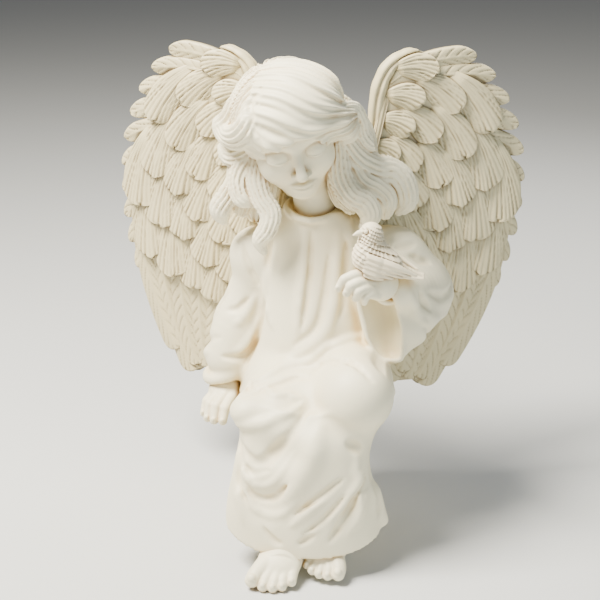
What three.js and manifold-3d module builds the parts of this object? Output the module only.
// A cast-resin garden angel that sits on the edge of a shelf, wall or log, with a small bird on its raised hand.
// The hollow robe casting carries a separately cast head, two wings, two hands, two feet and the bird.
// Each casting seats in a shallow socket on a steel dowel and is bonded there.
// Millimetres. +Z is up, the angel faces -Y, and +X is its left side.
// The origin is on the flat underside of the seat, midway between the hips.

import * as THREE from "three";
import { mergeVertices } from "three/addons/utils/BufferGeometryUtils.js";
import { ConvexGeometry } from "three/addons/geometries/ConvexGeometry.js";
import Module from "manifold-3d";

const wasm = await Module();
wasm.setup();

// Driving dimensions

const GLUE_GAP = 0.3; // clearance left for adhesive round every bonded piece
const WALL = 7; // thickness of the hollow robe casting
const WING_THICKNESS = 10;
const WING_BEVEL = 2; // rounding round a wing's edge
const RIGHT_TIP_OUT = 17; // the right wing's tip stands this much further out than the left one's
const WING_CENTRE_X = -4; // the wings are set a little to the right of the spine
const WING_SWEEP = THREE.MathUtils.degToRad(16.7); // each wing sweeps back from the shoulders
const WING_ROOT = { x: 18, y: 37 }; // where a wing's plane meets the back, from the wings' own middle
const TENON = { width: 20, depth: 20, bottom: 70, height: 42 }; // block cast on each wing root
const PLUG = { radius: 15, thickness: 5, y: 24, recess: 0.5, lip: 4 }; // closes the casting hole in the seat
const DOWEL = { large: 3, medium: 2, small: 1.25 }; // dowel radii
const NECK = { x: 1, y: -4, radius: 15, floor: 132, top: 160 }; // plain round neck and its socket
const WING_DOWEL = { heights: [10, 32], inRobe: 8, inWing: 14 }; // heights are above the tenon's underside

const RESIN = { color: 0xf1ece0, roughness: 0.55, metalness: 0 };
const STEEL = { color: 0x9a9a9c, roughness: 0.35, metalness: 1 };
const RUBBER = { color: 0xd8d0bf, roughness: 0.8, metalness: 0 };

// Solids from three.js geometry

// A closed geometry as a solid that can be joined and cut.
function solid(geometry) {
  const bare = geometry.clone();
  bare.deleteAttribute("normal");
  bare.deleteAttribute("uv");
  const merged = mergeVertices(bare, 1e-4);
  return new wasm.Manifold(
    new wasm.Mesh({
      numProp: 3,
      vertProperties: new Float32Array(merged.attributes.position.array),
      triVerts: new Uint32Array(merged.index.array),
    }),
  );
}

function join(...solids) {
  return solids.reduce((whole, next) => whole.add(next));
}

function cut(whole, ...tools) {
  return tools.reduce((left, tool) => left.subtract(tool), whole);
}

function ball(centre, radii, rotation = [0, 0, 0], grow = 0, detail = 18) {
  const geometry = new THREE.SphereGeometry(1, detail, Math.round(detail * 0.7));
  geometry.scale(radii[0] + grow, radii[1] + grow, radii[2] + grow);
  geometry.applyMatrix4(
    new THREE.Matrix4().makeRotationFromEuler(new THREE.Euler(...rotation, "YXZ")),
  );
  geometry.translate(...centre);
  return solid(geometry);
}

// The convex skin over balls given as [x, y, z, radius].
function skin(stations, grow = 0, detail = 10) {
  const points = [];
  for (const [x, y, z, radius] of stations) {
    const sphere = new THREE.SphereGeometry(radius + grow, detail, Math.round(detail * 0.7));
    sphere.translate(x, y, z);
    const position = sphere.attributes.position;
    for (let i = 0; i < position.count; i += 1) {
      points.push(new THREE.Vector3().fromBufferAttribute(position, i));
    }
  }
  return solid(new ConvexGeometry(points));
}

// A rounded limb through a list of [x, y, z, radius] stations.
function limb(stations, grow = 0, detail = 10) {
  return join(...stations.slice(1).map((end, i) => skin([stations[i], end], grow, detail)));
}

// A closed loft through elliptical rings { x, y, z, across, deep, tilt }, listed from the bottom up.
// tilt lets a ring rise towards the back: it is the rise for each millimetre of depth.
function loft(rings, grow = 0, sides = 26) {
  const geometry = new THREE.CylinderGeometry(1, 1, 1, sides, rings.length - 1);
  const position = geometry.attributes.position;
  for (let i = 0; i < position.count; i += 1) {
    const row = Math.round((position.getY(i) + 0.5) * (rings.length - 1));
    const { x, y, z, across, deep, tilt = 0 } = rings[row];
    const dx = position.getX(i) * (across + grow);
    const dy = -position.getZ(i) * (deep + grow);
    const ends = row === 0 ? -grow : row === rings.length - 1 ? grow : 0;
    position.setXYZ(i, x + dx, y + dy, z + tilt * dy + ends);
  }
  return solid(geometry);
}

// A round bar between two points.
function bar(from, to, radius, sides = 16) {
  const start = new THREE.Vector3(...from);
  const span = new THREE.Vector3(...to).sub(start);
  const geometry = new THREE.CylinderGeometry(radius, radius, span.length(), sides);
  geometry.translate(0, span.length() / 2, 0);
  geometry.applyQuaternion(
    new THREE.Quaternion().setFromUnitVectors(
      new THREE.Vector3(0, 1, 0),
      span.clone().normalize(),
    ),
  );
  geometry.translate(...from);
  return solid(geometry);
}

function box(centre, size, grow = 0) {
  const geometry = new THREE.BoxGeometry(...size.map((side) => side + 2 * grow));
  geometry.translate(...centre);
  return solid(geometry);
}

// A dowel, and the hole that it is bonded into.
function dowel(from, to, radius) {
  return {
    pin: bar(from, to, radius),
    hole: bar(...stretched(from, to, GLUE_GAP), radius + GLUE_GAP),
  };
}

function stretched(from, to, extra) {
  const start = new THREE.Vector3(...from);
  const end = new THREE.Vector3(...to);
  const step = end.clone().sub(start).setLength(extra);
  return [start.sub(step).toArray(), end.add(step).toArray()];
}

// Robe casting: torso, lap, skirt and both sleeves

const TORSO = [
  { x: 1, y: 0, z: 0, across: 48, deep: 46 },
  { x: 1, y: -2, z: 22, across: 49, deep: 45 },
  { x: 2, y: -4, z: 50, across: 43, deep: 37 },
  { x: 3, y: -3, z: 80, across: 41, deep: 32 },
  { x: 4, y: 1, z: 106, across: 44, deep: 29 },
  { x: 4, y: 2, z: 124, across: 46, deep: 25 },
  { x: 3, y: 0, z: 137, across: 30, deep: 21 },
  { x: 2, y: -3, z: 147, across: 19, deep: 18 },
];
const SKIRT = [
  { x: 1, y: -76, z: -41, across: 47, deep: 25, tilt: 0.55 },
  { x: 0, y: -76, z: -20, across: 45, deep: 25, tilt: 0.3 },
  { x: 0, y: -74, z: 4, across: 41, deep: 24 },
  { x: 4, y: -68, z: 26, across: 42, deep: 24 },
];
const LEFT_THIGH = [
  [20, 0, 32, 28],
  [33, -66, 40, 23],
];
const RIGHT_THIGH = [
  [-22, 0, 30, 26],
  [-18, -66, 22, 22],
];
const LAP = [
  [-12, 2, 32, 26],
  [14, 2, 34, 28],
  [-12, -52, 26, 20],
  [24, -52, 38, 22],
  [8, -62, 10, 20],
];
const RIGHT_SLEEVE = [
  [-36, 1, 116, 17],
  [-50, 6, 84, 17],
  [-56, 1, 56, 20],
  [-58, -2, 40, 17],
];
const LEFT_UPPER_SLEEVE = [
  [44, 2, 116, 18],
  [66, 3, 92, 20],
];
const LEFT_FOREARM_SLEEVE = [
  [66, 3, 90, 20],
  [54, -38, 104, 14],
];
const LEFT_DRAPE = [
  [68, -2, 88, 18],
  [55, -40, 102, 13],
  [57, -44, 68, 8],
];

function robe(grow) {
  return join(
    loft(TORSO, grow),
    loft(SKIRT, grow),
    limb(LEFT_THIGH, grow, 14),
    limb(RIGHT_THIGH, grow, 14),
    limb(RIGHT_SLEEVE, grow, 12),
    limb(LEFT_UPPER_SLEEVE, grow, 12),
    limb(LEFT_FOREARM_SLEEVE, grow, 12),
    skin(LEFT_DRAPE, grow, 12),
    skin(LAP, grow, 14),
  );
}

// The casting's hollow follows the torso and reaches forward into the lap.
function robeHollow() {
  const inner = TORSO.slice(1, 5).map((ring) => ({
    ...ring,
    across: ring.across - WALL - 2,
    deep: ring.deep - WALL - 4,
    y: ring.y - 3,
  }));
  const lap = limb(
    [
      [4, -10, 34, 19],
      [6, -56, 30, 13],
    ],
    0,
    12,
  );
  const outside = -1;
  const door = bar([0, PLUG.y, outside], [0, PLUG.y, TORSO[1].z + WALL], PLUG.radius - PLUG.lip, 24);
  const seat = bar(
    [0, PLUG.y, outside],
    [0, PLUG.y, PLUG.recess + PLUG.thickness + GLUE_GAP],
    PLUG.radius + GLUE_GAP,
    32,
  );
  return join(loft(inner), lap, door, seat);
}

function basePlug() {
  return bar(
    [0, PLUG.y, PLUG.recess],
    [0, PLUG.y, PLUG.recess + PLUG.thickness],
    PLUG.radius,
    32,
  );
}

// Hands and feet: each has a plain stem that seats in the robe

const RIGHT_WRIST = { from: [-61, -14, 19], to: [-58, -2, 44], radius: 8.5 };
const LEFT_WRIST = { from: [41.5, -57, 110.5], to: [56, -32, 103], radius: 8 };
const LEFT_ANKLE = { from: [-5, -84, -46], to: [-2, -79, -24], radius: 9 };
const RIGHT_ANKLE = { from: [24, -80, -46], to: [20, -74, -24], radius: 9 };

function stem({ from, to, radius }, grow = 0) {
  return bar(...(grow ? stretched(from, to, grow) : [from, to]), radius + grow, 20);
}

function rightHandShape(grow) {
  const palm = limb(
    [
      [-59, -8, 30, 9],
      [-61, -16, 16, 9.5],
    ],
    grow,
  );
  const fingers = [-68, -63.5, -59, -54.5].map((x, i) =>
    limb(
      [
        [x + 3 - i, -20, 12, 4],
        [x, -30 + Math.abs(i - 1.5), 4.5, 3.2],
      ],
      grow,
      8,
    ),
  );
  const thumb = limb(
    [
      [-55, -12, 17, 4.5],
      [-49, -22, 7, 3.4],
    ],
    grow,
    8,
  );
  return join(palm, ...fingers, thumb);
}

function leftHandShape(grow) {
  const palm = limb(
    [
      [49, -50, 107, 8],
      [41, -57, 111, 8.5],
    ],
    grow,
  );
  const fingers = [0, 1, 2, 3].map((i) =>
    limb(
      [
        [38, -53 - 4 * i, 113 - i, 4],
        [25 + i, -60 - 4 * i, 114 - 2 * i, 3.1],
      ],
      grow,
      8,
    ),
  );
  return join(palm, ...fingers);
}

// The feet are crossed at the ankles, the left one in front.
const LEFT_FOOT = {
  ankle: [-6, -85, -50],
  heel: [-5, -80, -57],
  arch: [-9, -102, -62],
  toes: [-12, -112, -65.5],
};
const RIGHT_FOOT = {
  ankle: [24, -80, -49],
  heel: [25, -75, -54],
  arch: [21, -92, -59],
  toes: [19, -99, -63],
};

function footShape({ ankle, heel, arch, toes }, grow = 0) {
  const sole = limb(
    [
      [...ankle, 9.5],
      [...arch, 8.5],
      [...toes, 5.5],
    ],
    grow,
  );
  const back = limb(
    [
      [...ankle, 9.5],
      [...heel, 8.5],
    ],
    grow,
  );
  return join(sole, back);
}

// Wings: a swept blade with a bone along its leading edge, and a tenon for the socket in the back.
// The outline is drawn as [outward from the wings' middle, height].

const WING_OUTLINE = [
  [14, 96],
  [26, 66],
  [38, 36],
  [56, 1],
  [66, 0],
  [82, 3],
  [98, 26],
  [110, 48],
  [124, 88],
  [134, 130],
  [136, 157],
  [129, 188],
  [114, 215],
  [96, 236],
  [74, 246],
  [56, 242],
  [45, 232],
  [41, 212],
  [40, 190],
  [30, 166],
  [16, 148],
];
const LEAN_START = 130; // height below which the right wing leans out
const LEADING_BONE = [
  [20, 130, 10],
  [34, 168, 9],
  [45, 208, 8],
  [56, 230, 7],
];

// A point of the wing's plane in the row frame: side is 1 for the left wing and -1 for the right.
function wingPoint(side, outward, height) {
  return [
    WING_CENTRE_X + side * outward,
    WING_ROOT.y + (outward - WING_ROOT.x) * Math.tan(WING_SWEEP),
    height,
  ];
}

// How far out a wing's outline really lies: the right wing's lower part leans outwards towards its tip.
function leaned(side, outward, height) {
  const low = Math.max(0, 1 - height / LEAN_START);
  return side < 0 ? outward + RIGHT_TIP_OUT * low ** 2 : outward;
}

function wing(side) {
  const spread = 1 / Math.cos(WING_SWEEP);
  const outline = new THREE.Shape(
    WING_OUTLINE.map(
      ([outward, height]) =>
        new THREE.Vector2(side * (leaned(side, outward, height) - WING_ROOT.x) * spread, height),
    ),
  );
  const blade = new THREE.ExtrudeGeometry(outline, {
    depth: WING_THICKNESS - 2 * WING_BEVEL,
    bevelThickness: WING_BEVEL,
    bevelSize: WING_BEVEL,
    bevelOffset: -WING_BEVEL,
    bevelSegments: 2,
  });
  blade.translate(0, 0, WING_BEVEL - WING_THICKNESS / 2);
  blade.rotateX(Math.PI / 2);
  blade.rotateZ(side * WING_SWEEP);
  blade.translate(WING_CENTRE_X + side * WING_ROOT.x, WING_ROOT.y, 0);
  const bone = limb(
    LEADING_BONE.map(([outward, height, radius]) => [
      ...wingPoint(side, outward, height),
      radius,
    ]),
  );
  return join(solid(blade), bone, tenon(side, 0));
}

function tenon(side, grow) {
  const { width, depth, bottom, height } = TENON;
  const x = WING_CENTRE_X + side * WING_ROOT.x;
  return box(
    [x, WING_ROOT.y - depth / 2, bottom + height / 2],
    [width, depth, height],
    grow,
  );
}

function wingDowel(side, height) {
  const x = WING_CENTRE_X + side * WING_ROOT.x;
  const tip = WING_ROOT.y - TENON.depth;
  return dowel([x, tip - WING_DOWEL.inRobe, height], [x, tip + WING_DOWEL.inWing, height], DOWEL.medium);
}

// Head: skull, face, neck and the long waved hair

const HEAD_TURN = [0.42, 0.12, -0.2]; // nod, turn and tilt, in radians
const HAIR_LOCKS = [
  [
    [-40, -18, 200, 15],
    [-44, -24, 168, 11],
    [-38, -30, 138, 9],
    [-29, -36, 118, 6],
  ],
  [
    [-36, -4, 196, 18],
    [-46, -2, 158, 12],
    [-50, -6, 122, 8],
  ],
  [
    [12, -10, 196, 14],
    [30, -8, 172, 12],
    [48, -8, 156, 9],
    [56, -10, 138, 6],
  ],
  [
    [10, -18, 182, 12],
    [26, -26, 154, 9],
    [30, -28, 132, 6],
  ],
  [
    [-14, 10, 200, 30],
    [-8, 20, 160, 22],
    [-6, 27, 132, 14],
  ],
];

function headShape(grow) {
  return join(
    ball([-16, -8, 203], [36, 39, 38], HEAD_TURN, grow, 22),
    ball([-5, -22, 180], [25, 26, 33], HEAD_TURN, grow, 20),
    limb(
      [
        [NECK.x, NECK.y, NECK.top - 12, NECK.radius - 1],
        [NECK.x - 5, NECK.y - 4, NECK.top + 12, NECK.radius],
      ],
      grow,
      14,
    ),
    ...HAIR_LOCKS.map((stations) => limb(stations, grow)),
  );
}

function neck(grow) {
  return bar(
    [NECK.x, NECK.y, NECK.floor - grow],
    [NECK.x, NECK.y, NECK.top],
    NECK.radius + grow,
    24,
  );
}

// Bird, standing on the back of the raised hand

function birdShape() {
  return join(
    ball([46, -57, 133], [15, 10, 11.5], [0, -0.35, 0], 0, 16),
    ball([40, -58, 148], [8, 7.5, 7.5], [0, 0, 0], 0, 14),
    limb([
      [34, -59, 149, 2.6],
      [30.5, -59.5, 148.5, 1],
    ]),
    limb([
      [54, -55, 128, 7],
      [74, -50, 118, 3.5],
    ]),
    limb([
      [44, -57, 126, 5],
      [41, -57, 119, 4],
    ]),
  );
}

// Assembly

const neckDowel = dowel([NECK.x, NECK.y, 116], [NECK.x, NECK.y, 152], DOWEL.large);
const [lowerDowel, upperDowel] = WING_DOWEL.heights.map((height) => TENON.bottom + height);
const wingDowels = {
  left_wing_dowel_upper: wingDowel(1, upperDowel),
  left_wing_dowel_lower: wingDowel(1, lowerDowel),
  right_wing_dowel_upper: wingDowel(-1, upperDowel),
  right_wing_dowel_lower: wingDowel(-1, lowerDowel),
};
const limbDowels = {
  left_wrist_dowel: dowel([49, -44, 106.6], [63, -20, 99.4], DOWEL.medium),
  right_wrist_dowel: dowel([-59.5, -8, 30], [-56.5, 6, 58], DOWEL.medium),
  left_ankle_dowel: dowel([-5, -86, -42], [1, -74, -6], DOWEL.medium),
  right_ankle_dowel: dowel([23, -80, -42], [17, -68, -6], DOWEL.medium),
};
const birdPin = dowel([42, -57.5, 112], [43, -57, 130], DOWEL.small);

const holes = (dowels) => Object.values(dowels).map(({ hole }) => hole);

// The left sleeve ends in an open bell, and the hem is recessed round the ankles.
const sleeveBell = skin(
  [
    [46, -56, 96, 8],
    [50, -58, 74, 6],
    [60, -28, 88, 7],
  ],
  0,
  12,
);
const hemRecess = loft([
  { x: 1, y: -76, z: -60, across: 41, deep: 20, tilt: 0.55 },
  { x: 1, y: -76, z: -33, across: 41, deep: 20, tilt: 0.5 },
]);
// Everything of the torso and lap that would hang below the seat face, behind the legs.
const BELOW_SEAT = { front: -50, back: 130, width: 400, depth: 100 };
const belowSeat = box(
  [0, (BELOW_SEAT.front + BELOW_SEAT.back) / 2, -BELOW_SEAT.depth / 2],
  [BELOW_SEAT.width, BELOW_SEAT.back - BELOW_SEAT.front, BELOW_SEAT.depth],
);

const robeBody = cut(
  robe(0),
  belowSeat,
  robeHollow(),
  neck(GLUE_GAP),
  neckDowel.hole,
  tenon(1, GLUE_GAP),
  tenon(-1, GLUE_GAP),
  sleeveBell,
  hemRecess,
  stem(RIGHT_WRIST, GLUE_GAP),
  stem(LEFT_WRIST, GLUE_GAP),
  stem(LEFT_ANKLE, GLUE_GAP),
  stem(RIGHT_ANKLE, GLUE_GAP),
  footShape(LEFT_FOOT, GLUE_GAP),
  footShape(RIGHT_FOOT, GLUE_GAP),
  ...holes(wingDowels),
  ...holes(limbDowels),
);

const head = cut(join(cut(headShape(0), robe(GLUE_GAP)), neck(0)), neckDowel.hole);

const leftHand = cut(
  join(cut(leftHandShape(0), robe(GLUE_GAP)), stem(LEFT_WRIST)),
  limbDowels.left_wrist_dowel.hole,
  birdPin.hole,
);
const rightHand = cut(
  join(cut(rightHandShape(0), robe(GLUE_GAP)), stem(RIGHT_WRIST)),
  limbDowels.right_wrist_dowel.hole,
);
const leftFoot = cut(
  join(footShape(LEFT_FOOT), stem(LEFT_ANKLE)),
  limbDowels.left_ankle_dowel.hole,
);
const rightFoot = cut(
  join(footShape(RIGHT_FOOT), stem(RIGHT_ANKLE)),
  limbDowels.right_ankle_dowel.hole,
);
const bird = cut(birdShape(), leftHandShape(GLUE_GAP), birdPin.hole);

function seatedWing(side, dowels) {
  const blade = cut(wing(side), robe(GLUE_GAP), headShape(GLUE_GAP));
  return cut(join(blade, tenon(side, 0)), ...dowels.map((name) => wingDowels[name].hole));
}

// Scene graph

const figure = new THREE.Group();

function add(name, shape, finish) {
  const mesh = shape.getMesh();
  const geometry = new THREE.BufferGeometry();
  geometry.setAttribute("position", new THREE.BufferAttribute(mesh.vertProperties, 3));
  geometry.setIndex(new THREE.BufferAttribute(mesh.triVerts, 1));
  geometry.computeVertexNormals();
  const part = new THREE.Mesh(geometry, new THREE.MeshStandardMaterial(finish));
  part.name = name;
  figure.add(part);
}

add("robe_body", robeBody, RESIN);
add("base_plug", basePlug(), RUBBER);
add("head", head, RESIN);
add("neck_dowel", neckDowel.pin, STEEL);
add("left_wing", seatedWing(1, ["left_wing_dowel_upper", "left_wing_dowel_lower"]), RESIN);
add("right_wing", seatedWing(-1, ["right_wing_dowel_upper", "right_wing_dowel_lower"]), RESIN);
add("left_hand", leftHand, RESIN);
add("right_hand", rightHand, RESIN);
add("left_foot", leftFoot, RESIN);
add("right_foot", rightFoot, RESIN);
add("bird", bird, RESIN);
add("bird_pin", birdPin.pin, STEEL);
for (const [name, { pin }] of Object.entries({ ...wingDowels, ...limbDowels })) {
  add(name, pin, STEEL);
}

export default figure;
